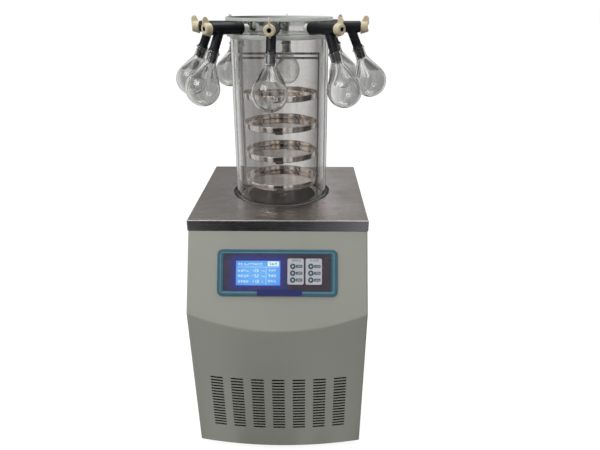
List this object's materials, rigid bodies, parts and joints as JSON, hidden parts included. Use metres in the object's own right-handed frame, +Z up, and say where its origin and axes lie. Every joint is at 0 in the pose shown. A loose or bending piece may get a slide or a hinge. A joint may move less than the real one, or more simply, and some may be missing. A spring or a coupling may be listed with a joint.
{
  "type": "freeze dryer",
  "caption": "Laboratory freeze dryer: refrigerated cabinet with sloping control panel, clear chamber with stacked trays, and a manifold of valves with flasks.",
  "frame": {"origin": "on the floor, under the middle of the whole footprint; the chamber axis is 35.5 mm behind it", "axes": "+Z up, -Y towards the control panel, +X to the right of someone facing the panel"},
  "size_m": [0.5618, 0.6327, 1.1465],
  "materials": {
    "grey_paint": "satin",
    "brushed_stainless": "brushed",
    "trap_stainless": "satin",
    "rack_stainless": "satin",
    "tray_stainless": "bright",
    "zinc_steel": "galvanised",
    "steel_screws": "bright",
    "black_rubber": "matt",
    "valve_rubber": "satin",
    "white_silicone": "matt",
    "clear_acrylic": "clear",
    "clear_glass": "clear",
    "cream_plastic": "satin",
    "blue_bezel": "satin",
    "dark_overlay": "gloss",
    "lit_screen": "lit",
    "silver_keypad": "satin",
    "key_caps": "satin",
    "blue_strip": "gloss",
    "circuit_board": "matt",
    "copper": "bright",
    "foam": "matt",
    "black_enamel": "gloss",
    "fin_aluminium": "matt",
    "black_sheet": "matt",
    "fan_plastic": "matt",
    "brass_valve": "satin",
    "lever_red": "gloss",
    "black_moulding": "satin",
    "rocker_black": "gloss"
  },
  "bodies": {
    "root": {"base_gasket": "black_rubber", "base_pan": "zinc_steel", "chamber_tube": "clear_acrylic", "cold_trap": "trap_stainless", "compressor": "black_enamel", "condenser": "fin_aluminium", "control_board": "circuit_board", "corner_posts": "zinc_steel", "display_screen": "lit_screen", "drain_valve": "brass_valve", "evaporator_coil": "copper", "fan_shroud": "black_sheet", "flask_1": "clear_glass", "flask_2": "clear_glass", "flask_3": "clear_glass", "flask_4": "clear_glass", "flask_5": "clear_glass", "flask_6": "clear_glass", "flask_7": "clear_glass", "flask_8": "clear_glass", "front_panel": "grey_paint", "keypad_plates": "silver_keypad", "left_side_panel": "grey_paint", "levelling_feet": "black_rubber", "manifold_drum": "clear_acrylic", "name_plate": "blue_strip", "panel_bezel": "blue_bezel", "panel_overlay": "dark_overlay", "panel_screws": "steel_screws", "power_entry": "black_moulding", "rear_panel": "grey_paint", "refrigerant_pipes": "copper", "right_side_panel": "grey_paint", "sample_rack": "rack_stainless", "top_gasket": "white_silicone", "top_plate": "brushed_stainless", "trap_insulation": "foam", "tray_1": "tray_stainless", "tray_2": "tray_stainless", "tray_3": "tray_stainless", "tray_4": "tray_stainless", "vacuum_port": "trap_stainless", "valve_bodies": "valve_rubber"},
    "valve_knob_1": {"valve_knob_1": "cream_plastic"},
    "valve_knob_2": {"valve_knob_2": "cream_plastic"},
    "valve_knob_3": {"valve_knob_3": "cream_plastic"},
    "valve_knob_4": {"valve_knob_4": "cream_plastic"},
    "valve_knob_5": {"valve_knob_5": "cream_plastic"},
    "valve_knob_6": {"valve_knob_6": "cream_plastic"},
    "valve_knob_7": {"valve_knob_7": "cream_plastic"},
    "valve_knob_8": {"valve_knob_8": "cream_plastic"},
    "key_1": {"key_1": "key_caps"},
    "key_2": {"key_2": "key_caps"},
    "key_3": {"key_3": "key_caps"},
    "key_4": {"key_4": "key_caps"},
    "key_5": {"key_5": "key_caps"},
    "key_6": {"key_6": "key_caps"},
    "condenser_fan": {"condenser_fan": "fan_plastic"},
    "power_rocker": {"power_rocker": "rocker_black"},
    "drain_handle": {"drain_handle": "lever_red"}
  },
  "joints": [
    {"name": "valve_knob_1_turn", "type": "hinge", "parent": "root", "child": "valve_knob_1", "pos_m": [-0.01089, -0.17222, 1.1195], "axis": [-0.0523, -0.9986, 0], "range_deg": [0, 180]},
    {"name": "valve_knob_2_turn", "type": "hinge", "parent": "root", "child": "valve_knob_2", "pos_m": [0.13918, -0.11908, 1.1195], "axis": [0.6691, -0.7431, 0], "range_deg": [0, 180]},
    {"name": "valve_knob_3_turn", "type": "hinge", "parent": "root", "child": "valve_knob_3", "pos_m": [0.20772, 0.02461, 1.1195], "axis": [0.9986, -0.0523, 0], "range_deg": [0, 180]},
    {"name": "valve_knob_4_turn", "type": "hinge", "parent": "root", "child": "valve_knob_4", "pos_m": [0.15457, 0.17468, 1.1195], "axis": [0.7431, 0.6691, 0], "range_deg": [0, 180]},
    {"name": "valve_knob_5_turn", "type": "hinge", "parent": "root", "child": "valve_knob_5", "pos_m": [0.01089, 0.24321, 1.1195], "axis": [0.0523, 0.9986, 0], "range_deg": [0, 180]},
    {"name": "valve_knob_6_turn", "type": "hinge", "parent": "root", "child": "valve_knob_6", "pos_m": [-0.13918, 0.19007, 1.1195], "axis": [-0.6691, 0.7431, 0], "range_deg": [0, 180]},
    {"name": "valve_knob_7_turn", "type": "hinge", "parent": "root", "child": "valve_knob_7", "pos_m": [-0.20772, 0.04638, 1.1195], "axis": [-0.9986, 0.0523, 0], "range_deg": [0, 180]},
    {"name": "valve_knob_8_turn", "type": "hinge", "parent": "root", "child": "valve_knob_8", "pos_m": [-0.15457, -0.10368, 1.1195], "axis": [-0.7431, -0.6691, 0], "range_deg": [0, 180]},
    {"name": "key_1_press", "type": "slide", "parent": "root", "child": "key_1", "axis": [0, 0.8895, -0.4569], "range_m": [0, 0.001], "stiffness_N_per_m": 500},
    {"name": "key_2_press", "type": "slide", "parent": "root", "child": "key_2", "axis": [0, 0.8895, -0.4569], "range_m": [0, 0.001], "stiffness_N_per_m": 500},
    {"name": "key_3_press", "type": "slide", "parent": "root", "child": "key_3", "axis": [0, 0.8895, -0.4569], "range_m": [0, 0.001], "stiffness_N_per_m": 500},
    {"name": "key_4_press", "type": "slide", "parent": "root", "child": "key_4", "axis": [0, 0.8895, -0.4569], "range_m": [0, 0.001], "stiffness_N_per_m": 500},
    {"name": "key_5_press", "type": "slide", "parent": "root", "child": "key_5", "axis": [0, 0.8895, -0.4569], "range_m": [0, 0.001], "stiffness_N_per_m": 500},
    {"name": "key_6_press", "type": "slide", "parent": "root", "child": "key_6", "axis": [0, 0.8895, -0.4569], "range_m": [0, 0.001], "stiffness_N_per_m": 500},
    {"name": "condenser_fan_spin", "type": "hinge", "parent": "root", "child": "condenser_fan", "pos_m": [0, -0.1915, 0.144], "axis": [0, 1, 0], "continuous": true},
    {"name": "power_rocker_tilt", "type": "hinge", "parent": "root", "child": "power_rocker", "pos_m": [-0.14, 0.272, 0.135], "axis": [1, 0, 0], "range_deg": [0, 24]},
    {"name": "drain_handle_turn", "type": "hinge", "parent": "root", "child": "drain_handle", "pos_m": [0, 0.2865, 0.4553], "axis": [0, 0, 1], "range_deg": [0, 90]}
  ]
}
